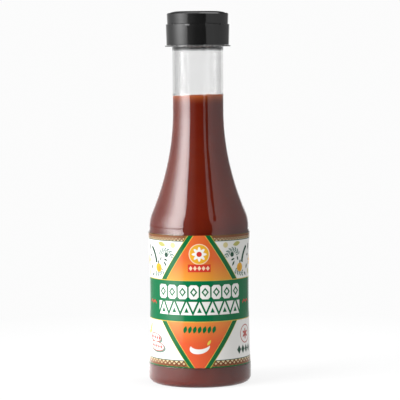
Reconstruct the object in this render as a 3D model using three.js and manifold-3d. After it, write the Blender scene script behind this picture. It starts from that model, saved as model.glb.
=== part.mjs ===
// Hot sauce bottle: a clear plastic bottle with a slim neck, filled with red sauce,
// with a label round its body and a black flip-top cap that is shut.
// Millimetres, +Z up. The origin is the middle of the base, on the table. The label's
// front and the camera's side of the bottle face -Y.
import * as THREE from 'three';
import { mergeVertices } from 'three/addons/utils/BufferGeometryUtils.js';
import Module from 'manifold-3d';

// Foot and side of the bottle
const STAND_INNER = 16.5;
const STAND_OUTER = 22.2;
const PUSH_UP = 2.5;
const BUMPER_RADIUS = 25.5;
const BUMPER_TOP = 8.8;
const PANEL_BOTTOM = 9.4;
const PANEL_TOP = 76.4;

// Shoulder: a round corner that runs into a long flare up to the neck
const SHOULDER_RADIUS = 24.75;
const CORNER_HEIGHT = 78.0;
const CORNER_ROUND = 18.3;
const FLARE_TILT = THREE.MathUtils.degToRad(22.9);
const NECK_RADIUS = 12.65;

// Support ring and the mouth inside the cap
const RING_RADIUS = 16.5;
const RING_BOTTOM = 166.65;
const RING_TOP = 167.65;
const RING_BEVEL = 0.3;
const MOUTH_RADIUS = 13.2;
const MOUTH_TOP = 176.5;
const BORE_RADIUS = 10.85;
const BORE_BOTTOM = 167.5;
const BORE_TAPER = 2.0;

// Walls, sauce and label. The label and the panel under it have a slight waist.
const WALL = 1.0;
const GAP = 0.3;
const FILL_HEIGHT = 142.6;
const LABEL_BOTTOM = 10.1;
const LABEL_TOP = 75.15;
const LABEL_END_RADIUS = 25.35;
const LABEL_WAIST_RADIUS = 24.7;
const LABEL_THICKNESS = 0.25;

// Cap, turned a little to the right of the label's front
const CAP_TURN = THREE.MathUtils.degToRad(10);
const CAP_BOTTOM = RING_TOP + GAP;
const CAP_FOOT_RADIUS = 15.45;
const CAP_RADIUS = 15.65;
const CAP_FULL_HEIGHT = 173.5;
const CAP_INNER_RADIUS = MOUTH_RADIUS + GAP + 0.1;
const DECK_BOTTOM = MOUTH_TOP + GAP;
const PARTING = 178.1;
const EDGE_BEVEL = 0.3;
const LID_RADIUS = 15.1;
const LID_EDGE = 0.5;
const LEDGE_HEIGHT = 183.6;
const LEDGE_RADIUS = 13.7;
const CROWN_RADIUS = 10.7;
const CROWN_HEIGHT = 184.3;
const NOTCH_HALF_WIDTH = 9.2;
const NOTCH_HALF_HEIGHT = 0.9;
const NOTCH_DROP = 0.25;
const NOTCH_FLOOR_RADIUS = 14.3;
const HINGE_WIDTH = 8.0;
const HINGE_THICKNESS = 0.8;
const HINGE_BOTTOM = 175.6;
const HINGE_TOP = 180.0;
const HINGE_RADIUS = 15.0;

// Steps round each turned piece and along its curves
const ROUND_STEPS = 48;
const CORNER_STEPS = 4;
const FLARE_STEPS = 10;
const FLOOR_STEPS = 4;
const WAIST_STEPS = 6;
const NOTCH_STEPS = 24;

const RIGHT_ANGLE = Math.PI / 2;

const wasm = await Module();
wasm.setup();

function point(radius, height) {
  return new THREE.Vector2(radius, height);
}

function arc(centre, radius, from, to) {
  const curve = new THREE.EllipseCurve(centre.x, centre.y, radius, radius, from, to, false);
  return curve.getPoints(CORNER_STEPS);
}

// Drops points that repeat the one before them.
function withoutRepeats(points) {
  return points.filter((p, i) => i === 0 || p.distanceTo(points[i - 1]) > 1e-6);
}

// A solid of revolution about +Z. The outline runs with its solid on the left.
function turned(outline) {
  const geometry = new THREE.LatheGeometry(withoutRepeats(outline), ROUND_STEPS);
  return geometry.rotateX(RIGHT_ANGLE);
}

// The floor, pushed up in the middle, from the axis out to the ring that it stands on.
function floorCurve(inset) {
  const middle = point(0, PUSH_UP + inset);
  const crown = point(STAND_INNER / 2, PUSH_UP + inset);
  const edge = point(STAND_INNER, inset);
  return new THREE.QuadraticBezierCurve(middle, crown, edge).getPoints(FLOOR_STEPS);
}

function footCorner(sideRadius, inset) {
  const round = sideRadius - STAND_OUTER;
  return arc(point(STAND_OUTER, inset + round), round, -RIGHT_ANGLE, 0);
}

// The shoulder's round corner and flare, set in from the outer skin.
function shoulder(inset) {
  const round = CORNER_ROUND - inset;
  const centre = point(SHOULDER_RADIUS - CORNER_ROUND, CORNER_HEIGHT);
  const corner = arc(centre, round, 0, FLARE_TILT);
  const start = corner[corner.length - 1];
  const neck = NECK_RADIUS - inset;
  const rise = (start.x - neck) / Math.tan(FLARE_TILT);
  const bend = point(neck, start.y + rise);
  const end = point(neck, start.y + 2 * rise);
  const flare = new THREE.QuadraticBezierCurve(start, bend, end).getPoints(FLARE_STEPS);
  return [...corner, ...flare];
}

// The inside of the bottle from the middle of its floor up to the top of the flare.
function insideSkin(inset) {
  return [
    ...floorCurve(inset),
    ...footCorner(SHOULDER_RADIUS - inset, inset),
    ...shoulder(inset),
  ];
}

// The waisted side from the label's bottom to its top, set in from the label's face.
function waist(inset) {
  const end = LABEL_END_RADIUS - inset;
  const pull = 2 * (LABEL_WAIST_RADIUS - inset) - end;
  const low = point(end, LABEL_BOTTOM);
  const middle = point(pull, (LABEL_BOTTOM + LABEL_TOP) / 2);
  const high = point(end, LABEL_TOP);
  return new THREE.QuadraticBezierCurve(low, middle, high).getPoints(WAIST_STEPS);
}

function outsideSkin() {
  const panel = waist(LABEL_THICKNESS + GAP);
  return [
    ...floorCurve(0),
    ...footCorner(BUMPER_RADIUS, 0),
    point(BUMPER_RADIUS, BUMPER_TOP),
    point(panel[0].x, PANEL_BOTTOM),
    ...panel,
    point(SHOULDER_RADIUS, PANEL_TOP),
    ...shoulder(0),
    point(NECK_RADIUS, RING_BOTTOM - RING_BEVEL),
    point(RING_RADIUS - RING_BEVEL, RING_BOTTOM),
    point(RING_RADIUS, (RING_BOTTOM + RING_TOP) / 2),
    point(RING_RADIUS - RING_BEVEL, RING_TOP),
    point(MOUTH_RADIUS, RING_TOP),
    point(MOUTH_RADIUS, MOUTH_TOP),
  ];
}

function bottleGeometry() {
  const hollow = [
    ...insideSkin(WALL),
    point(NECK_RADIUS - WALL, BORE_BOTTOM - BORE_TAPER),
    point(BORE_RADIUS, BORE_BOTTOM),
    point(BORE_RADIUS, MOUTH_TOP),
  ];
  return turned([...outsideSkin(), ...hollow.reverse()]);
}

function sauceGeometry() {
  const inset = WALL + GAP;
  return turned([
    ...insideSkin(inset),
    point(NECK_RADIUS - inset, FILL_HEIGHT),
    point(0, FILL_HEIGHT),
  ]);
}

function labelGeometry() {
  const face = waist(0);
  const back = waist(LABEL_THICKNESS);
  return turned([...face, ...back.reverse(), face[0]]);
}

// A closed mesh as a solid that can be joined and cut.
function solidOf(geometry) {
  const bare = geometry.clone();
  bare.deleteAttribute('normal');
  bare.deleteAttribute('uv');
  const merged = mergeVertices(bare, 1e-4);
  const vertProperties = new Float32Array(merged.attributes.position.array);
  const triVerts = new Uint32Array(merged.index.array);
  return new wasm.Manifold(new wasm.Mesh({ numProp: 3, vertProperties, triVerts }));
}

function geometryOf(solid) {
  const mesh = solid.getMesh();
  const geometry = new THREE.BufferGeometry();
  geometry.setAttribute('position', new THREE.BufferAttribute(mesh.vertProperties, 3));
  geometry.setIndex(new THREE.BufferAttribute(mesh.triVerts, 1));
  geometry.computeVertexNormals();
  return geometry;
}

// The finger notch across the front of the parting line, as deep as its floor radius.
function notchCutter() {
  const outline = new THREE.Shape();
  outline.absellipse(0, 0, NOTCH_HALF_WIDTH, NOTCH_HALF_HEIGHT, 0, 2 * Math.PI, false, 0);
  const settings = { depth: CAP_RADIUS + GAP, bevelEnabled: false, curveSegments: NOTCH_STEPS };
  const bar = new THREE.ExtrudeGeometry(outline, settings);
  bar.rotateX(RIGHT_ANGLE);
  bar.translate(0, 0, PARTING - NOTCH_DROP);
  const core = new THREE.CylinderGeometry(
    NOTCH_FLOOR_RADIUS, NOTCH_FLOOR_RADIUS, 4 * NOTCH_HALF_HEIGHT, ROUND_STEPS,
  );
  core.rotateX(RIGHT_ANGLE);
  core.translate(0, 0, PARTING);
  return solidOf(bar).subtract(solidOf(core));
}

// The hinge strap at the back, grown by a clearance where it is used to cut its slot.
function hingeStrap(clearance) {
  const strap = new THREE.BoxGeometry(
    HINGE_WIDTH + 2 * clearance,
    HINGE_THICKNESS + 2 * clearance,
    HINGE_TOP - HINGE_BOTTOM + 2 * clearance,
  );
  strap.translate(0, HINGE_RADIUS, (HINGE_TOP + HINGE_BOTTOM) / 2);
  return solidOf(strap);
}

function capBaseGeometry() {
  const ring = turned([
    point(CAP_INNER_RADIUS, CAP_BOTTOM),
    point(CAP_FOOT_RADIUS, CAP_BOTTOM),
    point(CAP_RADIUS, CAP_FULL_HEIGHT),
    point(CAP_RADIUS, PARTING - GAP - EDGE_BEVEL),
    point(CAP_RADIUS - EDGE_BEVEL, PARTING - GAP),
    point(0, PARTING - GAP),
    point(0, DECK_BOTTOM),
    point(CAP_INNER_RADIUS, DECK_BOTTOM),
    point(CAP_INNER_RADIUS, CAP_BOTTOM),
  ]);
  return geometryOf(solidOf(ring).add(hingeStrap(0)).subtract(notchCutter()));
}

function capLidGeometry() {
  const edge = point(LID_RADIUS - LID_EDGE, LEDGE_HEIGHT - LID_EDGE);
  const disc = turned([
    point(0, PARTING),
    point(LID_RADIUS, PARTING),
    ...arc(edge, LID_EDGE, 0, RIGHT_ANGLE),
    point(LEDGE_RADIUS, LEDGE_HEIGHT),
    point(CROWN_RADIUS, CROWN_HEIGHT),
    point(0, CROWN_HEIGHT),
  ]);
  return geometryOf(solidOf(disc).subtract(hingeStrap(GAP)).subtract(notchCutter()));
}

function piece(name, geometry, finish) {
  const mesh = new THREE.Mesh(geometry, new THREE.MeshStandardMaterial(finish));
  mesh.name = name;
  return mesh;
}

const CLEAR_PLASTIC = {
  color: '#e6e6e4', roughness: 0.05, metalness: 0, transparent: true, opacity: 0.35,
};
const SAUCE = { color: '#6a1e0f', roughness: 0.25, metalness: 0 };
const PRINTED_LABEL = { color: '#1c7c53', roughness: 0.45, metalness: 0 };
const BLACK_PLASTIC = { color: '#1c1c1c', roughness: 0.3, metalness: 0 };

function sauceBottle() {
  const group = new THREE.Group();
  group.add(piece('bottle', bottleGeometry(), CLEAR_PLASTIC));
  group.add(piece('sauce', sauceGeometry(), SAUCE));
  group.add(piece('label', labelGeometry(), PRINTED_LABEL));
  const cap = new THREE.Group();
  cap.rotation.z = CAP_TURN;
  cap.add(piece('cap_base', capBaseGeometry(), BLACK_PLASTIC));
  cap.add(piece('cap_lid', capLidGeometry(), BLACK_PLASTIC));
  group.add(cap);
  return group;
}

export default sauceBottle();
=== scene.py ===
# Hot sauce bottle: the finished surfaces, the studio round it and the camera.
import math
import bmesh
import bpy
from mathutils import Matrix, Quaternion, Vector


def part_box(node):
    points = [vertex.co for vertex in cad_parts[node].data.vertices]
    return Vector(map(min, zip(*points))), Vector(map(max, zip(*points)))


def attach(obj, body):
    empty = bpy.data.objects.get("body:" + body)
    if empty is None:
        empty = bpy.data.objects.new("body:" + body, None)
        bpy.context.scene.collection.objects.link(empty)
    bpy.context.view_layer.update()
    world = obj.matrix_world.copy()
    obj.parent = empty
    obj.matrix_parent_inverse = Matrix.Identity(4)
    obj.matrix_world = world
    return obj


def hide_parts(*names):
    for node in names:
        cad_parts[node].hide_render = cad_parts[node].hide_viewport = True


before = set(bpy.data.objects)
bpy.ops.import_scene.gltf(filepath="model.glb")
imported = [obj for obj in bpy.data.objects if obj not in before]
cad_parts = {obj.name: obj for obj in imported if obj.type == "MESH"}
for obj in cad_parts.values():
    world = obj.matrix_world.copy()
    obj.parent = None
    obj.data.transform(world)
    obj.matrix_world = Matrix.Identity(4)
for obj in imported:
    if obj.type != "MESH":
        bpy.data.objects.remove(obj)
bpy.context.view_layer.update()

# Sizes are in millimetres until a mesh is made, and MM turns them into metres
MM = 0.001
QUARTER = math.pi / 2
ROUND_STEPS = 192
CORNER_STEPS = 10
FLARE_STEPS = 32
FLOOR_STEPS = 12
EVEN_TURNS = [2 * math.pi * i / ROUND_STEPS for i in range(ROUND_STEPS)]
LONG_RUN = 1.0
FLAT_END = 0.1
SHARP_EDGE = math.radians(35)

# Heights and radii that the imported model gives
BUMPER_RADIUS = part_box("bottle")[1].x / MM
MOUTH_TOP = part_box("bottle")[1].z / MM
LABEL_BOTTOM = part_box("label")[0].z / MM
LABEL_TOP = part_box("label")[1].z / MM
LABEL_END_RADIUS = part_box("label")[1].x / MM
FILL_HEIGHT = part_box("sauce")[1].z / MM
CAP_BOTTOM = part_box("cap_base")[0].z / MM
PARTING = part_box("cap_lid")[0].z / MM
CROWN_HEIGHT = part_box("cap_lid")[1].z / MM

# Outline of the bottle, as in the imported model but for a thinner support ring
STAND_INNER = 16.5
STAND_OUTER = 22.2
PUSH_UP = 2.5
SHOULDER_RADIUS = 24.75
CORNER_HEIGHT = 78.0
CORNER_ROUND = 18.3
FLARE_TILT = math.radians(22.9)
NECK_RADIUS = 12.65
RING_RADIUS = 16.5
RING_BOTTOM = 167.0
RING_TOP = 167.65
RING_ROUND = 0.3
RING_FLAT = 1.2
RING_FILLET = 0.8
MOUTH_RADIUS = 13.2
BORE_RADIUS = 10.85
BORE_BOTTOM = 167.5
BORE_TAPER = 2.0
WALL = 1.0
GROOVE_ROUND = 0.1
STEP_ROUND = 0.4
STEP_HEIGHT = 1.5
MOUTH_ROUND = 0.4

# Mould seams, right of the front and straight across from there
SEAMS = (math.radians(-90 + 19.5), math.radians(90 + 19.5))
SEAM_WIDTH = 10.0
SEAM_DEPTH = 0.16
SEAM_INNER = 12.3
SEAM_STEPS = 10
SEAM_START = 2.0
SEAM_FADE = 3.0

# Film of the label, with a slight waist
LABEL_WAIST_RADIUS = 24.7
WAIST_STEPS = 24
FILM = 0.07
LABEL_LAP = 5.0
LAP_CLIMB = 1 / 3

# Sauce, which reaches a little into the wall and isn't quite level
SAUCE_OVERLAP = 0.1
SAUCE_TILT = 0.03
SAUCE_CLIMB = 0.45
SAUCE_EDGE = 1.6
SAUCE_EDGE_ROUND = 0.3
SAUCE_DIP = 0.05

# Cap, turned a little to the right of the label's front
CAP_TURN = math.radians(10)
CAP_FOOT_RADIUS = 15.56
CAP_RADIUS = 15.82
CAP_INNER_RADIUS = 13.6
CAP_DROP = 0.2
DECK_GAP = 0.3
CAP_GAP = 0.06
CAP_EDGE = 0.12
CAP_FOOT_ROUND = 0.2
LID_FOOT_RADIUS = 15.17
LID_FOOT_ROUND = 0.15
LID_RADIUS = 15.34
LID_CHAMFER = 0.4
LEDGE_HEIGHT = 183.6
LEDGE_RADIUS = 14.0
CROWN_RADIUS = 12.0
CROWN_TOP = CROWN_HEIGHT + 0.14
CROWN_SLOPE = 1.4
CROWN_RISE = 0.4
DOME = 0.02
NOTCH_HALF_WIDTH = 9.2
NOTCH_HALF_HEIGHT = 0.9
NOTCH_DROP = 0.25
NOTCH_LEAN = math.radians(23.5)
NOTCH_REACH = 0.6
NOTCH_STEPS = 48
HINGE_WIDTH = 8.0
HINGE_THICKNESS = 0.8
HINGE_BOTTOM = 175.6
HINGE_TOP = 180.0
HINGE_RADIUS = 15.0
HINGE_SLOT = 0.3


# Shapes

def arc(centre, radius, start, end, steps=CORNER_STEPS):
    turns = [start + (end - start) * i / steps for i in range(steps + 1)]
    return [(centre[0] + radius * math.cos(a), centre[1] + radius * math.sin(a)) for a in turns]


def bend(start, middle, end, steps):
    """A quadratic curve from start to end that leans towards middle."""
    points = []
    for i in range(steps + 1):
        t = i / steps
        weights = ((1 - t) ** 2, 2 * t * (1 - t), t * t)
        points.append(tuple(
            sum(w * p[axis] for w, p in zip(weights, (start, middle, end))) for axis in (0, 1)
        ))
    return points


def without_repeats(points):
    kept = [points[0]]
    for p in points[1:]:
        if math.dist(p, kept[-1]) > 1e-6:
            kept.append(p)
    return kept


def with_flat_runs(outline):
    """Each long straight run gets a point close to either end, so that it is shaded flat."""
    points = [outline[0]]
    for a, b in zip(outline, outline[1:]):
        length = math.dist(a, b)
        if length > LONG_RUN:
            for share in (FLAT_END / length, 1 - FLAT_END / length):
                points.append(tuple(p + (q - p) * share for p, q in zip(a, b)))
        points.append(b)
    return points


def mesh_of(name, shape):
    mesh = bpy.data.meshes.new(name)
    shape.to_mesh(mesh)
    shape.free()
    return mesh


def turned_mesh(name, outline, turns=EVEN_TURNS, rise=lambda turn, radius, height: 0):
    """A solid of revolution. The outline is closed by the axis, or ends where it starts."""
    steps = len(turns)
    outline = with_flat_runs(without_repeats(outline))
    closed = math.dist(outline[0], outline[-1]) < 1e-6
    if closed:
        outline = outline[:-1]
    shape = bmesh.new()
    rings = []
    for radius, height in outline:
        if radius < 1e-6:
            rings.append([shape.verts.new((0, 0, height * MM))] * steps)
            continue
        ring = []
        for turn in turns:
            out = (radius + rise(turn, radius, height)) * MM
            ring.append(shape.verts.new((out * math.cos(turn), out * math.sin(turn), height * MM)))
        rings.append(ring)
    pairs = list(zip(rings, rings[1:]))
    if closed:
        pairs.append((rings[-1], rings[0]))
    for low, high in pairs:
        for i in range(steps):
            j = (i + 1) % steps
            corners = without_twins([low[i], low[j], high[j], high[i]])
            if len(corners) > 2:
                shape.faces.new(corners)
    return mesh_of(name, shape)


def without_twins(corners):
    return [c for i, c in enumerate(corners) if c is not corners[i - 1]]


def floor_curve(inset):
    crown = PUSH_UP + inset
    return bend((0, crown), (STAND_INNER / 2, crown), (STAND_INNER, inset), FLOOR_STEPS)


def foot_corner(side_radius, inset):
    rounding = side_radius - STAND_OUTER
    return arc((STAND_OUTER, inset + rounding), rounding, -QUARTER, 0)


def shoulder(inset):
    """The shoulder's round corner and flare, set in from the outer skin."""
    centre = (SHOULDER_RADIUS - CORNER_ROUND, CORNER_HEIGHT)
    corner = arc(centre, CORNER_ROUND - inset, 0, FLARE_TILT)
    start = corner[-1]
    neck = NECK_RADIUS - inset
    rise = (start[0] - neck) / math.tan(FLARE_TILT)
    middle = (neck, start[1] + rise)
    end = (neck, start[1] + 2 * rise)
    return corner + bend(start, middle, end, FLARE_STEPS)


def inside_skin(inset):
    side = foot_corner(SHOULDER_RADIUS - inset, inset)
    return floor_curve(inset) + side + shoulder(inset)


def ring_edge():
    """The neck's support ring, thin and rounded at its rim."""
    middle = (RING_BOTTOM + RING_TOP) / 2
    foot = RING_BOTTOM - RING_FILLET - 0.1
    return [
        (NECK_RADIUS, foot),
        *arc((NECK_RADIUS + RING_FILLET, foot), RING_FILLET, math.pi, QUARTER, 6),
        (RING_RADIUS - 2 * RING_ROUND, middle - RING_ROUND),
        *arc((RING_RADIUS - RING_ROUND, middle), RING_ROUND, -QUARTER, QUARTER, 8),
        (RING_RADIUS - RING_FLAT, RING_TOP),
        (MOUTH_RADIUS, RING_TOP),
    ]


def seam_turns():
    """Turns round the bottle, closer together at the two mould seams."""
    near = math.radians(SEAM_WIDTH + 1)
    turns = [t for t in EVEN_TURNS if abs(seam_offset(t)) > near]
    for seam in SEAMS:
        for i in range(-SEAM_STEPS, SEAM_STEPS + 1):
            turns.append((seam + math.radians(SEAM_WIDTH * i / SEAM_STEPS)) % (2 * math.pi))
    return sorted(turns)


def seam_offset(turn):
    """How far a turn is past the nearer seam."""
    return (turn - SEAMS[0] + QUARTER) % math.pi - QUARTER


def seam_rise(turn, radius, height):
    """A shallow hollow and ridge side by side, where the halves of the mould met."""
    start = min(1, max(0, (height - CORNER_HEIGHT - SEAM_START) / SEAM_FADE))
    offset = math.degrees(seam_offset(turn)) / SEAM_WIDTH
    if abs(offset) > 1 or height > RING_BOTTOM - 1 or radius < SEAM_INNER:
        return 0
    return SEAM_DEPTH * start * math.sin(math.pi * offset) * math.cos(QUARTER * offset) ** 2


def waist(inset):
    """The waisted side from the label's bottom to its top, set in from the label's face."""
    end = LABEL_END_RADIUS - inset
    pull = 2 * (LABEL_WAIST_RADIUS - inset) - end
    middle = (pull, (LABEL_BOTTOM + LABEL_TOP) / 2)
    return bend((end, LABEL_BOTTOM), middle, (end, LABEL_TOP), WAIST_STEPS)


def bottle_mesh():
    """The bottle's shell, up its outside to the mouth and down its bore to the floor."""
    panel = waist(1.5 * FILM)
    edge = LABEL_BOTTOM - GROOVE_ROUND / 2
    side = (BUMPER_RADIUS, edge - GROOVE_ROUND)
    step = (SHOULDER_RADIUS, LABEL_TOP + STEP_HEIGHT)
    outside = [
        *floor_curve(0),
        *foot_corner(BUMPER_RADIUS, 0),
        side,
        *bend(side, (BUMPER_RADIUS, edge), (BUMPER_RADIUS - GROOVE_ROUND, edge), 3),
        (panel[0][0], edge),
        *panel,
        *bend(panel[-1], (panel[-1][0], LABEL_TOP + STEP_ROUND), step, 4),
        *shoulder(0),
        *ring_edge(),
        (MOUTH_RADIUS, MOUTH_TOP - MOUTH_ROUND),
        *arc((MOUTH_RADIUS - MOUTH_ROUND, MOUTH_TOP - MOUTH_ROUND), MOUTH_ROUND, 0, QUARTER, 4),
    ]
    neck = NECK_RADIUS - WALL
    taper = BORE_BOTTOM - BORE_TAPER
    bore = [
        *inside_skin(WALL),
        (neck, taper),
        *bend((neck, taper), (neck, BORE_BOTTOM - BORE_TAPER / 2), (BORE_RADIUS, BORE_BOTTOM), 8),
        (BORE_RADIUS, MOUTH_TOP),
    ]
    return turned_mesh("bottle_shell", outside + bore[::-1], seam_turns(), seam_rise)


def sauce_mesh():
    """The sauce, a little higher where it clings to the wall."""
    inset = WALL - SAUCE_OVERLAP
    wall = NECK_RADIUS - inset
    top = FILL_HEIGHT + SAUCE_CLIMB
    level = FILL_HEIGHT - SAUCE_DIP
    mesh = turned_mesh("sauce_fill", [
        *inside_skin(inset),
        (wall, top),
        *bend((wall, top), (wall - SAUCE_EDGE_ROUND, FILL_HEIGHT), (wall - SAUCE_EDGE, level), 6),
        (0, level),
    ])
    for vertex in mesh.vertices:
        if vertex.co.z > (FILL_HEIGHT - 1) * MM:
            vertex.co.z += SAUCE_TILT * vertex.co.x
    return mesh


def label_mesh():
    """A film wound once round the bottle. At the back its end climbs onto its start."""
    lap = LABEL_LAP / LABEL_WAIST_RADIUS
    way = 2 * math.pi + lap
    steps = 2 * ROUND_STEPS
    sections = []
    shape = bmesh.new()
    for i in range(steps + 1):
        share = i / steps
        turn = QUARTER - lap / 2 + share * way
        climb = max(0.0, 1 - (1 - share) * way / lap)
        climb = min(1.0, climb / LAP_CLIMB)
        inset = 0.1 * FILM - FILM * climb
        section = []
        for radius, height in waist(inset) + waist(inset + FILM)[::-1]:
            place = (radius * math.cos(turn) * MM, radius * math.sin(turn) * MM, height * MM)
            section.append(shape.verts.new(place))
        sections.append(section)
    for here, there in zip(sections, sections[1:]):
        for k in range(len(here)):
            shape.faces.new([here[k], there[k], there[k - 1], here[k - 1]])
    shape.faces.new(sections[0][::-1])
    shape.faces.new(sections[-1])
    bmesh.ops.recalc_face_normals(shape, faces=shape.faces)
    return mesh_of("label_film", shape)


def joined(base, operation, tool):
    """The base mesh cut or joined by the tool mesh."""
    body = bpy.data.objects.new("work_base", base)
    other = bpy.data.objects.new("work_tool", tool)
    for work in (body, other):
        bpy.context.scene.collection.objects.link(work)
    step = body.modifiers.new("cut", "BOOLEAN")
    step.operation = operation
    step.solver = "EXACT"
    step.object = other
    view = bpy.context.evaluated_depsgraph_get()
    made = bpy.data.meshes.new_from_object(body.evaluated_get(view))
    for work in (body, other):
        bpy.data.objects.remove(work)
    return made


def box_mesh(size, centre):
    shape = bmesh.new()
    place = Matrix.Translation(Vector(centre) * MM) @ Matrix.Diagonal((*[s * MM for s in size], 1))
    bmesh.ops.create_cube(shape, size=1, matrix=place)
    return mesh_of("work_box", shape)


def notch_bar():
    """A flat oval bar that reaches from the cap's middle out past the front of its wall."""
    shape = bmesh.new()
    rings = []
    for at_front in (True, False):
        ring = []
        for i in range(NOTCH_STEPS):
            turn = 2 * math.pi * i / NOTCH_STEPS
            x = NOTCH_HALF_WIDTH * math.cos(turn)
            y = -NOTCH_REACH - math.sqrt(CAP_RADIUS ** 2 - x * x) if at_front else 0
            z = PARTING - NOTCH_DROP + NOTCH_HALF_HEIGHT * math.sin(turn)
            ring.append(shape.verts.new((x * MM, y * MM, z * MM)))
        rings.append(ring)
    front, back = rings
    for i in range(NOTCH_STEPS):
        j = (i + 1) % NOTCH_STEPS
        shape.faces.new([front[j], front[i], back[i], back[j]])
    for ring in rings:
        for i in range(NOTCH_STEPS // 2):
            shape.faces.new(without_twins([ring[i], ring[i + 1], ring[-i - 1], ring[-i]]))
    bmesh.ops.recalc_face_normals(shape, faces=shape.faces)
    return mesh_of("work_bar", shape)


def notch_mesh():
    """The finger notch: a flat oval whose floor leans out until it runs into the wall below."""
    lip = PARTING - NOTCH_DROP - NOTCH_HALF_HEIGHT
    low, high = lip - 1, lip + 4
    floor = [(CAP_RADIUS - (height - lip) * math.tan(NOTCH_LEAN), height) for height in (low, high)]
    core = turned_mesh("work_core", [(0, low), *floor, (0, high)])
    return joined(notch_bar(), "DIFFERENCE", core)


def hinge_mesh(clearance):
    """The strap that holds the lid at the back, or with some clearance the slot for it."""
    size = (
        HINGE_WIDTH + 2 * clearance,
        HINGE_THICKNESS + 2 * clearance,
        HINGE_TOP - HINGE_BOTTOM + 2 * clearance,
    )
    return box_mesh(size, (0, HINGE_RADIUS, (HINGE_TOP + HINGE_BOTTOM) / 2))


def cap_base_mesh():
    """The cap's base: a slightly drafted skirt and its deck, the hinge strap and the notch."""
    bottom = CAP_BOTTOM - CAP_DROP
    deck = MOUTH_TOP + DECK_GAP
    top = PARTING - CAP_GAP
    foot = CAP_FOOT_RADIUS - CAP_FOOT_ROUND
    skirt = turned_mesh("cap_skirt", [
        (CAP_INNER_RADIUS, bottom),
        (foot, bottom),
        *arc((foot, bottom + CAP_FOOT_ROUND), CAP_FOOT_ROUND, -QUARTER, 0, 4),
        (CAP_RADIUS, top - CAP_EDGE),
        *arc((CAP_RADIUS - CAP_EDGE, top - CAP_EDGE), CAP_EDGE, 0, QUARTER, 6),
        (0, top),
        (0, deck),
        (CAP_INNER_RADIUS, deck),
        (CAP_INNER_RADIUS, bottom),
    ])
    return joined(joined(skirt, "UNION", hinge_mesh(0)), "DIFFERENCE", notch_mesh())


def cap_lid_mesh():
    """The lid, with its chamfer, its ledge and the raised crown, cut for hinge and notch."""
    foot = LID_FOOT_RADIUS - LID_FOOT_ROUND
    lid = turned_mesh("cap_top", [
        (0, PARTING),
        (foot, PARTING),
        *arc((foot, PARTING + LID_FOOT_ROUND), LID_FOOT_ROUND, -QUARTER, 0, 4),
        (LID_RADIUS, LEDGE_HEIGHT - LID_CHAMFER),
        (LID_RADIUS - LID_CHAMFER, LEDGE_HEIGHT - DOME),
        (LEDGE_RADIUS, LEDGE_HEIGHT),
        (CROWN_RADIUS + CROWN_SLOPE, CROWN_TOP - CROWN_RISE),
        (CROWN_RADIUS, CROWN_TOP - DOME),
        (0, CROWN_TOP),
    ])
    return joined(joined(lid, "DIFFERENCE", hinge_mesh(HINGE_SLOT)), "DIFFERENCE", notch_mesh())


# Shader maths

class Wire:
    """A node's output. Python operators on it add Math nodes."""

    def __init__(self, tree, socket=None):
        self.tree = tree
        self.socket = socket

    def node(self, kind, settings, values, output=0):
        """Adds a node, sets it up, feeds its sockets and gives one of its outputs."""
        made = self.tree.nodes.new(kind)
        for name, setting in settings.items():
            setattr(made, name, setting)
        for name, value in values.items():
            if isinstance(value, Wire):
                self.tree.links.new(value.socket, made.inputs[name])
            else:
                made.inputs[name].default_value = value
        return Wire(self.tree, made.outputs[output] if made.outputs else None)

    def math(self, operation, *others, clamp=False):
        settings = {"operation": operation, "use_clamp": clamp}
        return self.node("ShaderNodeMath", settings, dict(enumerate((self, *others))))

    def vector(self, operation, other=None, output=0):
        values = {0: self} if other is None else {0: self, 1: other}
        return self.node("ShaderNodeVectorMath", {"operation": operation}, values, output)

    def __add__(self, other):
        return self.math("ADD", other)

    def __sub__(self, other):
        return self.math("SUBTRACT", other)

    def __rsub__(self, other):
        return self.math("MULTIPLY_ADD", -1.0, other)

    def __mul__(self, other):
        return self.math("MULTIPLY", other)

    def __truediv__(self, other):
        return self.math("DIVIDE", other)

    def __neg__(self):
        return self.math("MULTIPLY", -1.0)

    def __abs__(self):
        return self.math("ABSOLUTE")

    def __or__(self, other):
        return self.math("MAXIMUM", other)

    def __and__(self, other):
        return self.math("MINIMUM", other)

    __radd__ = __add__
    __rmul__ = __mul__


def mixed(factor, under, over):
    """The colour under, covered by the colour over where factor is 1."""
    settings = {"data_type": "RGBA"}
    return factor.node("ShaderNodeMix", settings, {0: factor, 6: under, 7: over}, 2)


def srgb(red, green, blue):
    """A colour as it looks on a screen, 0 to 255, as the shader's own numbers."""
    parts = []
    for value in (red, green, blue):
        value /= 255
        parts.append(value / 12.92 if value < 0.04045 else ((value + 0.055) / 1.055) ** 2.4)
    return (*parts, 1.0)


def new_material(name):
    material = bpy.data.materials.new(name)
    material.use_nodes = True
    material.node_tree.nodes.clear()
    return material, Wire(material.node_tree)


def show(wire, shader):
    wire.node("ShaderNodeOutputMaterial", {}, {"Surface": shader})


def place_of(wire):
    return wire.node("ShaderNodeTexCoord", {}, {}, "Object")


def parts_of(vector):
    return [vector.node("ShaderNodeSeparateXYZ", {}, {0: vector}, name) for name in "XYZ"]


def ramp(value, start, end):
    """0 at start and 1 at end, and even beyond them."""
    steep = 1 / (end - start)
    return value.math("MULTIPLY_ADD", steep, -start * steep, clamp=True)


def noise(place, scale, detail=2.0, stretch=(1, 1, 1)):
    spread = place.vector("MULTIPLY", stretch)
    values = {"Vector": spread, "Scale": scale, "Detail": detail}
    return place.node("ShaderNodeTexNoise", {}, values, "Fac")


def bump(height, distance, strength=1.0):
    values = {"Height": height, "Distance": distance, "Strength": strength}
    return height.node("ShaderNodeBump", {}, values)


CLEAR = (0.87, 0.875, 0.87, 1)
# Grey for the ring: painted shade, darkening the ring as the black cap above it would
PAINTED_RING_SHADE = (0.6, 0.6, 0.6, 1)
LIGHT_THROUGH_WALL = (0.91, 0.91, 0.91, 1)
# Dark see-through grey for the neck under the ring: painted shade
PAINTED_SHADE_UNDER_RING = (0.45, 0.45, 0.45, 1)


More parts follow.
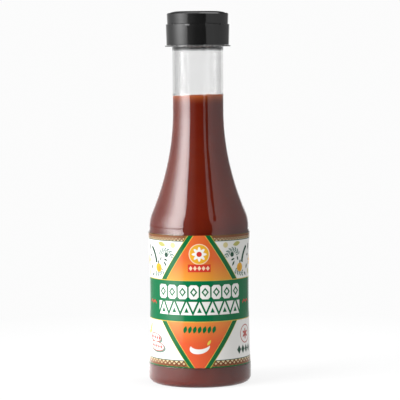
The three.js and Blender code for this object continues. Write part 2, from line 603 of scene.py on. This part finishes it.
def clear_plastic():
    """Clear blown plastic, faintly wavy, misted above the sauce, with painted shade on the ring and on
    the neck just under it.
    """
    material, wire = new_material("clear_plastic")
    place = place_of(wire)
    waves = noise(place, 60.0, 1.0, (1, 1, 0.3))
    height = parts_of(place)[2] * (1 / MM)
    mist = ramp(height, FILL_HEIGHT + 0.2, FILL_HEIGHT + 1.5)
    mist = mist & ramp(height, RING_BOTTOM - 0.3, RING_BOTTOM - 1.2)
    # Painted shade on the neck just under the ring, strongest next to it
    under_ring_shade_mask = ramp(height, RING_BOTTOM - 2.3, RING_BOTTOM - 0.7)
    values = {
        # Base colour greyed on the ring: painted shade
        "Base Color": mixed(ramp(height, RING_BOTTOM - 1.0, RING_BOTTOM), CLEAR, PAINTED_RING_SHADE),
        "Roughness": 0.03 + 0.03 * noise(place, 240.0) + 0.1 * mist,
        "IOR": 1.57,
        "Transmission Weight": 1.0,
        "Normal": bump(waves, 0.0002, 0.1),
    }
    plastic = wire.node("ShaderNodeBsdfPrincipled", {}, values)
    clear = wire.node("ShaderNodeBsdfTransparent", {}, {"Color": LIGHT_THROUGH_WALL})
    # Painted shade under the ring, in the see-through part of the neck's shader
    shade_under_ring = wire.node("ShaderNodeBsdfTransparent", {}, {"Color": PAINTED_SHADE_UNDER_RING})
    passing = wire.node("ShaderNodeMixShader", {}, {0: under_ring_shade_mask, 1: clear, 2: shade_under_ring})
    in_shadow = wire.node("ShaderNodeLightPath", {}, {}, "Is Shadow Ray")
    share = in_shadow | mist * 0.85
    show(wire, wire.node("ShaderNodeMixShader", {}, {0: share, 1: plastic, 2: passing}))
    return material


SAUCE_DEEP = srgb(93, 22, 6)
SAUCE_LIGHT = srgb(110, 40, 15)
SAUCE_TOP = srgb(190, 104, 56)
TOP_GLOW = 4.5


def sauce_finish():
    """Dark red sauce with fine pulp in it, lighter where the light comes in at its top."""
    material, wire = new_material("sauce")
    place = place_of(wire)
    height = parts_of(place)[2] * (1 / MM)
    pulp = noise(place, 900.0, 3.0)
    cloud = noise(place, 60.0, 2.0)
    ground = mixed((cloud - 0.35) * 0.8, SAUCE_DEEP, SAUCE_LIGHT)
    specks = (pulp - 0.62).math("MULTIPLY", 5.0, clamp=True)
    ground = mixed(specks * 0.5, ground, SAUCE_LIGHT)
    glow = ramp(height, FILL_HEIGHT - TOP_GLOW, FILL_HEIGHT)
    values = {
        "Base Color": mixed(glow * glow * 0.5, ground, SAUCE_TOP),
        "Roughness": 0.35 + 0.1 * pulp,
        "IOR": 1.35,
        "Specular IOR Level": 0.04,
    }
    show(wire, wire.node("ShaderNodeBsdfPrincipled", {}, values))
    return material


def black_plastic():
    """Moulded black plastic with a fine grain and a satin gloss."""
    material, wire = new_material("black_plastic")
    place = place_of(wire)
    grain = noise(place, 1800.0, 2.0)
    patches = noise(place, 120.0, 2.0)
    values = {
        "Base Color": mixed(patches, srgb(18, 18, 18), srgb(25, 25, 25)),
        "Roughness": 0.08 + 0.015 * patches,
        "IOR": 1.43,
        "Normal": bump(grain, 0.00001, 0.2),
    }
    show(wire, wire.node("ShaderNodeBsdfPrincipled", {}, values))
    return material


# Print of the label, in millimetres on the film
PRINT_RADIUS = 24.8
HALF_ROUND = math.pi * PRINT_RADIUS
BAND_MIDDLE = 42.9
BAND_HALF = 9.95
LINE = 0.35
UPPER_BORDER = 2.7
LOWER_BORDER = 3.4
ZIGZAG = 0.24
SOFT_EDGE = 0.05
STRIPE_OUTER = 20.9
STRIPE_INNER = 17.6
STRIPE_SLOPE_OUTER = 0.7
STRIPE_SLOPE_INNER = 0.67
STRIPE_LINE = 0.25

WHITE = srgb(203, 202, 199)
GREEN = srgb(6, 91, 54)
STRIPE_GREEN = srgb(10, 86, 44)
DARK_GREEN = srgb(36, 66, 52)
YELLOW = srgb(190, 176, 70)
ORANGE = srgb(186, 86, 42)
WARM_ORANGE = srgb(192, 128, 46)
BROWN = srgb(74, 36, 24)
CREAM = srgb(205, 180, 152)
TAN = srgb(120, 76, 46)
CLOTH = srgb(186, 172, 134)
FRUIT = srgb(196, 146, 42)
PALE_YELLOW = srgb(184, 174, 126)
LIME = srgb(158, 156, 88)
RED = srgb(172, 46, 38)
MIST_GREEN = srgb(96, 118, 108)
ROSE = srgb(156, 76, 70)
LINE_YELLOW = srgb(176, 152, 64)
LOW_ORANGE = srgb(186, 76, 42)
LOW_GOLD = srgb(190, 112, 50)


def within(distance, limit):
    """1 where distance is under limit, with a soft edge."""
    return ramp(distance, limit + SOFT_EDGE, limit - SOFT_EDGE)


def under(distance, limit):
    """1 where distance is under the value of another wire."""
    return within(distance - limit, 0.0)


def disc(spot, centre, radius):
    gap = spot.vector("DISTANCE", (*centre, 0), "Value")
    return within(gap, radius)


def local(spot, centre, size, turn):
    """The spot as seen from a shape's own middle, along its own axes, in its own sizes."""
    values = {
        "Vector": spot,
        "Location": (*centre, 0),
        "Rotation": (0, 0, math.radians(turn)),
        "Scale": (*size, 1),
    }
    return spot.node("ShaderNodeMapping", {"vector_type": "TEXTURE"}, values)


def oval(spot, centre, size, turn=0.0):
    steep = 0.5 / SOFT_EDGE * min(size)
    length = local(spot, centre, size, turn).vector("LENGTH", None, "Value")
    return length.math("MULTIPLY_ADD", -steep, steep + 0.5, clamp=True)


def leaf(spot, centre, size, turn=0.0):
    """A pointed leaf along its own first axis."""
    along, across, _ = parts_of(local(spot, centre, size, turn))
    steep = 0.5 / SOFT_EDGE * min(size)
    return (abs(across) + along * along).math("MULTIPLY_ADD", -steep, steep + 0.5, clamp=True)


def lozenge(spot, centre, size):
    along, across, _ = parts_of(local(spot, centre, size, 0))
    steep = 0.5 / SOFT_EDGE * min(size)
    return (abs(across) + abs(along)).math("MULTIPLY_ADD", -steep, steep + 0.5, clamp=True)


def block(spot, centre, size):
    """An upright rectangle of the half sizes given."""
    along, across, _ = parts_of(spot)
    return within(abs(along - centre[0]), size[0]) & within(abs(across - centre[1]), size[1])


def hoop(spot, centre, radius, width):
    gap = spot.vector("DISTANCE", (*centre, 0), "Value")
    return within(abs(gap - radius), width / 2)


def rosette(spot, centre, radius, petals, depth, turn=0.0):
    """A flower of round petals: its rim waves in and out by depth."""
    own = local(spot, centre, (1, 1), turn)
    along, across, _ = parts_of(own)
    wave = (along.math("ARCTAN2", across) * petals).math("COSINE") * depth
    return within(own.vector("LENGTH", None, "Value") - wave, radius - depth)


def any_of(*masks):
    """The union of masks, joined in pairs."""
    masks = list(masks)
    while len(masks) > 1:
        masks = [a | b for a, b in zip(masks[::2], masks[1::2])] + masks[len(masks) // 2 * 2:]
    return masks[0]


def painted(ground, *layers):
    for mask, colour in layers:
        ground = mixed(mask, ground, colour)
    return ground


def print_places(wire):
    """Where on the film a point is: across from the nearer front line, signed and not,
    and up from the middle of the band, signed and not."""
    x, y, z = parts_of(place_of(wire))
    round_way = x.math("ARCTAN2", -y) * PRINT_RADIUS
    across = round_way.math("WRAP", HALF_ROUND / 2, -HALF_ROUND / 2)
    up = z * (1 / MM) - BAND_MIDDLE
    return across, abs(across), up, abs(up)


def border(ground, across, rise, height, step, edge):
    """A lattice of crossed zigzags. Rise is the height above the strip's own inner line."""
    own = across.math("PINGPONG", step)
    tooth = 0.42 * height
    low_line = own * (tooth / step)
    high_line = 2 * tooth - low_line
    strip = within(-rise, 0.0)
    gems = within(own * (0.8 * tooth / step) + abs(rise - tooth), 0.36 * tooth)
    lines = within(abs(rise - low_line), ZIGZAG) | within(abs(rise - high_line), ZIGZAG)
    return painted(
        ground,
        (strip, TAN),
        (strip & under(rise, low_line), CLOTH),
        (gems, CLOTH),
        (strip & lines, BROWN),
        (within(abs(rise + 0.12), 0.2), DARK_GREEN),
        (strip & within(abs(rise - height), edge), STRIPE_GREEN),
    )


def branch(spot, centre, radius, start, end, pitch, leaf_size):
    """A curved stem from one angle to another round a centre, with pairs of leaves along it."""
    own = local(spot, centre, (1, 1), 0)
    x, y, _ = parts_of(own)
    turn = y.math("ARCTAN2", x) * (180 / math.pi)
    along = turn * (math.pi / 180 * radius)
    side = abs(own.vector("LENGTH", None, "Value") - radius)
    cell = along.math("WRAP", pitch / 2, -pitch / 2) - side * 0.8 + leaf_size * 0.6
    reach = (side - leaf_size) / leaf_size
    blade = abs(cell) * (3.2 / pitch) + reach * reach
    leaves = ramp(blade, 1.15, 0.85)
    stem = within(side, leaf_size * 0.22)
    middle, half = (start + end) / 2, abs(end - start) / 2
    return (leaves | stem) & ramp(abs(turn - middle), half + 0.5, half - 0.5)


def folk_flowers(ground, spot):
    """Mirrored branches, blossoms and fruit on the upper white panels."""
    stalk = hoop(spot, (36.2, 17.2), 11.4, 1.6) & disc(spot, (26.4, 22.3), 4.4)
    wreath = branch(spot, (17.9, 20.8), 3.9, 20.0, 175.0, 1.5, 0.8)
    twig = branch(spot, (26.0, 25.6), 12.8, -120.0, -88.0, 1.9, 0.85)
    leaves = any_of(
        leaf(spot, (17.9, 20.0), (1.3, 0.45), 20), leaf(spot, (18.3, 18.0), (1.5, 0.5), 60),
        leaf(spot, (21.2, 20.4), (1.2, 0.45), 110), leaf(spot, (29.8, 15.8), (1.4, 0.6), 60),
        leaf(spot, (28.2, 12.2), (1.3, 0.6), 130), leaf(spot, (32.0, 25.4), (1.9, 0.7), 100),
    )
    buds = disc(spot, (17.4, 22.4), 1.15) | disc(spot, (30.8, 21.4), 0.7)
    fruit = any_of(disc(spot, (23.0, 15.8), 2.2), rosette(spot, (35.2, 18.4), 3.2, 6, 0.8, 15))
    return painted(
        ground,
        (wreath, MIST_GREEN),
        (twig, MIST_GREEN),
        (any_of(stalk, leaves, buds), DARK_GREEN),
        (leaf(spot, (20.4, 27.6), (2.6, 1.1), 12) | leaf(spot, (33.0, 12.8), (2.0, 0.9), 120), LIME),
        (disc(spot, (13.4, 27.3), 1.35) | leaf(spot, (37.2, 26.0), (2.0, 1.1), 70), PALE_YELLOW),
        (fruit, FRUIT),
        (disc(spot, (35.2, 18.4), 1.2) | oval(spot, (22.6, 15.4), (0.8, 1.3), 8), WARM_ORANGE),
        (leaf(spot, (23.2, 18.6), (1.0, 0.5), 80), DARK_GREEN),
    )


def motif_rows(across, up):
    """Two rows of bold white folk shapes on the band: pierced tiles over mountains."""
    place = 5.68
    own = abs(abs(across.math("WRAP", place, -place)) - place / 2)
    high = abs(up - 4.45)
    tiles = within(own, 2.45) & within(high, 3.45) & within(own + high, 4.9)
    eye = own * 1.25 + high
    tiles = tiles - (within(eye, 2.3) - within(eye, 1.2))
    tiles = tiles & within(abs(across), 4 * place)
    place = 6.5
    own = abs(across.math("WRAP", place / 2, -place / 2))
    low = up + 3.55
    slope = low * 0.46
    peaks = within(own + slope, 1.5) - (within(own + slope, 0.2) & within(-low, 2.1))
    hanging = within(place / 2 - own - slope, 0.7)
    second = (peaks | hanging) & within(abs(low), 3.25) & within(abs(across), 3.5 * place)
    return tiles | second


def centre_motifs(ground, spot):
    """The flower disc, the beaded ribbon, the row of leaves and the pepper in the diamond."""
    disc_up, ribbon_up, row_up, pepper_up = 23.1, 16.2, -14.0, -22.8
    leaves = any_of(*(leaf(spot, (2.4 * i, row_up), (1.9, 0.95), 75) for i in (-3, -2, -1, 0, 1, 2, 3)))
    beads = any_of(*(lozenge(spot, (2.1 * i, ribbon_up), (0.9, 1.2)) for i in (-2, -1, 0, 1, 2)))
    pepper = oval(spot, (0.0, pepper_up), (5.0, 3.0), 12)
    pepper = pepper - oval(spot, (0.6, pepper_up + 2.5), (5.4, 3.2), 10)
    return painted(
        ground,
        (disc(spot, (0, disc_up), 5.1), CREAM),
        (disc(spot, (0, disc_up), 4.7), FRUIT),
        (rosette(spot, (0, disc_up), 3.6, 8, 0.7), WHITE),
        (disc(spot, (0, disc_up), 1.3), RED),
        (block(spot, (0, ribbon_up), (5.6, 1.9)), RED),
        (beads, CREAM),
        (leaves, STRIPE_GREEN),
        (pepper, WHITE),
        (leaf(spot, (4.6, pepper_up + 2.4), (1.6, 0.6), 55), YELLOW),
    )


def side_badges(ground, spot):
    """Two beaded ovals under pods on the left, a round seal on the right, on the lower panels."""
    ovals = (((-26.6, -19.0), (4.7, 1.8)), ((-25.2, -23.2), (5.6, 2.0)))
    backs, rims, plates, beads = [], [], [], []
    for (x, y), (wide, high) in ovals:
        backs.append(oval(spot, (x + 0.5, y - 0.4), (wide + 0.9, high + 0.7), -5))
        rims.append(oval(spot, (x, y), (wide + 0.4, high + 0.4), -5))
        plates.append(oval(spot, (x, y), (wide, high), -5))
        beads += [lozenge(spot, (x + 1.9 * i, y - 0.1 * i), (0.8, 1.1)) for i in (-2, -1, 0, 1, 2)]
    plate = any_of(*plates)
    seal = hoop(spot, (27.8, -17.6), 4.4, 0.5) | rosette(spot, (27.8, -17.6), 2.8, 6, 0.7)
    marks = any_of(*(lozenge(spot, (22.0 + 3.2 * i, -25.0), (1.55, 2.2)) for i in range(4)))
    return painted(
        ground,
        (any_of(*backs), MIST_GREEN),
        (any_of(*rims), ROSE),
        (plate, WHITE),
        (any_of(*beads) & plate, ROSE),
        (leaf(spot, (-32.0, -14.6), (3.0, 1.1), 55), LIME),
        (leaf(spot, (-33.6, -16.8), (2.8, 1.0), 15), YELLOW),
        (seal, ROSE),
        (marks, DARK_GREEN),
    )


def label_print():
    """Satin film printed with a diamond, a band, zigzag borders and folk ornament."""
    material, wire = new_material("label")
    across, aside, up, away = print_places(wire)
    spot = wire.node("ShaderNodeCombineXYZ", {}, {0: across, 1: up})
    mirrored = wire.node("ShaderNodeCombineXYZ", {}, {0: aside, 1: up})
    past_band = away - BAND_HALF
    outer = STRIPE_OUTER - STRIPE_SLOPE_OUTER * past_band
    inner = STRIPE_INNER - STRIPE_SLOPE_INNER * past_band
    colour = folk_flowers(WHITE, mirrored)
    colour = side_badges(colour, spot)
    rise = up - (LABEL_TOP - UPPER_BORDER - BAND_MIDDLE)
    colour = border(colour, across, rise, UPPER_BORDER, 0.95, 0.1)
    rise = (LABEL_BOTTOM + LOWER_BORDER - BAND_MIDDLE) - up
    colour = border(colour, across, rise, LOWER_BORDER, 1.3, 0.55)
    tip = ramp(away, BAND_HALF + 1.0, BAND_HALF + 11.0)
    lower = within(up, 0.0)
    field = mixed(tip, mixed(lower, WARM_ORANGE, LOW_GOLD), mixed(lower, ORANGE, LOW_ORANGE))
    colour = painted(
        colour,
        (under(aside, outer + STRIPE_LINE), YELLOW),
        (under(aside, outer), STRIPE_GREEN),
        (under(aside, inner + STRIPE_LINE), YELLOW),
        (under(aside, inner), field),
    )
    colour = centre_motifs(colour, spot)
    peak = aside.math("PINGPONG", 1.6) * 0.8 - 1.9
    chevrons = within(abs(up - peak), 0.4) & within(abs(aside - 28.8), 3.2)
    colour = painted(
        colour,
        (within(away, BAND_HALF + LINE), LINE_YELLOW),
        (within(away, BAND_HALF), GREEN),
        (motif_rows(across, up), WHITE),
        (chevrons, RED),
    )
    place = place_of(wire)
    values = {
        "Base Color": colour,
        "Roughness": 0.11 + 0.03 * noise(place, 300.0),
        "IOR": 1.29,
        "Normal": bump(noise(place, 70.0, 1.0, (1, 1, 0.25)), 0.0003, 0.12),
    }
    show(wire, wire.node("ShaderNodeBsdfPrincipled", {}, values))
    return material


# Pieces

def add_piece(name, mesh, material, node):
    """Adds a mesh as a piece, smooth but for its sharp edges."""
    mesh.shade_smooth()
    mesh.set_sharp_from_angle(angle=SHARP_EDGE)
    mesh.materials.append(material)
    piece = bpy.data.objects.new(name, mesh)
    bpy.context.scene.collection.objects.link(piece)
    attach(piece, "root")
    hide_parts(node)


def turned_with_cap(mesh):
    mesh.transform(Matrix.Rotation(CAP_TURN, 4, "Z"))
    return mesh


black = black_plastic()
add_piece("bottle_shell", bottle_mesh(), clear_plastic(), "bottle")
add_piece("sauce_fill", sauce_mesh(), sauce_finish(), "sauce")
add_piece("label_film", label_mesh(), label_print(), "label")
add_piece("cap_skirt", turned_with_cap(cap_base_mesh()), black, "cap_base")
add_piece("cap_top", turned_with_cap(cap_lid_mesh()), black, "cap_lid")


# Studio

PALE = 0.97
FLOOR_RADIUS = 0.3
FLOOR_NEAR = 0.78
BOUNCE = 0.65
LEFT_BOUNCE = 1.2


def add_floor():
    """A pale floor that fades into the pale backdrop a little way from the bottle. What the
    bottle mirrors of it is brighter on the left."""
    shape = bmesh.new()
    bmesh.ops.create_circle(shape, cap_ends=True, segments=96, radius=FLOOR_RADIUS)
    mesh = mesh_of("floor", shape)
    material, wire = new_material("floor")
    place = place_of(wire)
    distance = place.vector("LENGTH", None, "Value")
    far = ramp(distance, 0.06, 0.28)
    seen = wire.node("ShaderNodeLightPath", {}, {}, "Is Camera Ray")
    left = ramp(parts_of(place)[0], -0.01, -0.05) * ramp(distance, 0.2, 0.12)
    bounce = BOUNCE + LEFT_BOUNCE * left
    paper = wire.node("ShaderNodeBsdfDiffuse", {}, {"Color": (0.15, 0.15, 0.15, 1)})
    own = wire.node("ShaderNodeEmission", {}, {"Color": bounce + seen * (FLOOR_NEAR - bounce)})
    near = wire.node("ShaderNodeAddShader", {}, {0: paper, 1: own})
    glow = wire.node("ShaderNodeEmission", {}, {"Color": bounce + seen * (PALE - bounce)})
    show(wire, wire.node("ShaderNodeMixShader", {}, {0: far, 1: near, 2: glow}))
    mesh.materials.append(material)
    floor = bpy.data.objects.new("floor", mesh)
    floor.location.z = -0.0001
    bpy.context.scene.collection.objects.link(floor)


# The room's bright strip, in degrees round from the camera's side, and the room's lights
STRIP_MIDDLE = -59.0
STRIP_SPREAD = 20.0
STRIP_EDGE = -37.5
STRIP_LIGHT = 10.8
STRIP_HAZE = 0.35
WALL_LIGHT = 0.76
WALL_REST = 0.22
SIDE_LIGHT = 0.3
SKY_LIGHT = 1.6
LAMP_LIGHT = 4.0
ROOM_LIGHT = 0.03


def strip_light(turn, height, shade):
    """The soft bright strip on the left, a little weaker where the neck mirrors it and much
    weaker where the cap does."""
    offset = (turn - STRIP_MIDDLE) / STRIP_SPREAD
    strip = (offset * offset * -0.5).math("EXPONENT") * STRIP_LIGHT
    strip = strip * ramp(turn, STRIP_EDGE + 1.2, STRIP_EDGE - 1.2)
    level = (height + 0.5) / 2.5
    strip = strip * (1.0 - 0.14 * (level * level * -1.0).math("EXPONENT"))
    strip = strip * (1.0 - shade * (1.0 - 0.45 * ramp(turn, -34.0, -68.0)))
    strip = strip + STRIP_HAZE * ramp(turn, -5.0, -30.0)
    return strip * ramp(height, -11.0, -4.5) * ramp(height, 51.0, 44.0)


def lamp_light(turn, height):
    """A high lamp on the right, which the lid's chamfer mirrors, and a weak one before it."""
    lamp = ramp(height, 42.0, 48.0) * ramp(turn, 98.0, 106.0) * ramp(turn, 141.0, 134.0)
    lamp = lamp + 0.35 * ramp(height, 44.0, 47.0) * ramp(turn, 26.0, 36.0) * ramp(turn, 98.0, 84.0)
    return lamp * LAMP_LIGHT


def add_world():
    """A pale room: a bright soft strip on the left, a pale wall on the right, dark at the
    front and above the backdrop. Turn goes round to the right from the camera's side."""
    world = bpy.data.worlds.new("studio")
    world.use_nodes = True
    world.node_tree.nodes.clear()
    wire = Wire(world.node_tree)
    x, y, z = parts_of(wire.node("ShaderNodeTexCoord", {}, {}, "Generated"))
    turn = x.math("ARCTAN2", -y) * (180 / math.pi)
    height = z.math("ARCSINE") * (180 / math.pi)
    # The cap's walls alone mirror this low band of the room
    shade = ramp(height, -4.0, -3.3) * ramp(height, -1.7, -2.1)
    strip = strip_light(turn, height, shade)
    wall = ramp(turn, 30.0, 33.0) * ramp(height, -20.0, -12.0) * ramp(height, 65.0, 50.0)
    wall = wall * (ramp(turn, 150.0, 60.0) * WALL_LIGHT + WALL_REST)
    side = ramp(turn, -90.0, -110.0) * (SIDE_LIGHT - 0.2 * shade)
    back = ramp(abs(turn), 150.0, 162.0) * ramp(height, 16.0, 9.0) * PALE
    sky = ramp(height, 50.0, 65.0) * SKY_LIGHT
    # The slope round the cap's crown mirrors the room up here
    behind = ramp(abs(turn), 120.0, 145.0) * ramp(height, 14.0, 22.0) * ramp(height, 48.0, 40.0)
    round_about = (strip + wall + (side | back)) * (1.0 - 0.9 * behind)
    light = round_about + sky + lamp_light(turn, height) + ROOM_LIGHT
    seen = wire.node("ShaderNodeLightPath", {}, {}, "Is Camera Ray")
    strength = light + seen * (PALE - light)
    glow = wire.node("ShaderNodeBackground", {}, {"Color": (1, 1, 1, 1), "Strength": strength})
    wire.node("ShaderNodeOutputWorld", {}, {"Surface": glow})
    bpy.context.scene.world = world


# Camera, as the photograph was taken
CAMERA_DISTANCE = 1.062
CAMERA_TILT = math.radians(4.03)
CAMERA_ROLL = math.radians(0.4)
CAMERA_FOCAL = 191.9
VIEW_HEIGHT = 0.0908
VIEW_SIDE = 0.0006


def add_camera():
    lens = bpy.data.cameras.new("camera")
    lens.lens = CAMERA_FOCAL
    lens.sensor_width = 36.0
    camera = bpy.data.objects.new("camera", lens)
    target = Vector((VIEW_SIDE, 0, VIEW_HEIGHT))
    back = Vector((0, -math.cos(CAMERA_TILT), math.sin(CAMERA_TILT)))
    camera.location = target + back * CAMERA_DISTANCE
    level = (-back).to_track_quat("-Z", "Y")
    roll = Quaternion((0, 0, 1), -CAMERA_ROLL)
    camera.rotation_mode = "QUATERNION"
    camera.rotation_quaternion = level @ roll
    bpy.context.scene.collection.objects.link(camera)
    bpy.context.scene.camera = camera


add_floor()
add_world()
add_camera()
bpy.context.scene.view_settings.view_transform = "Standard"
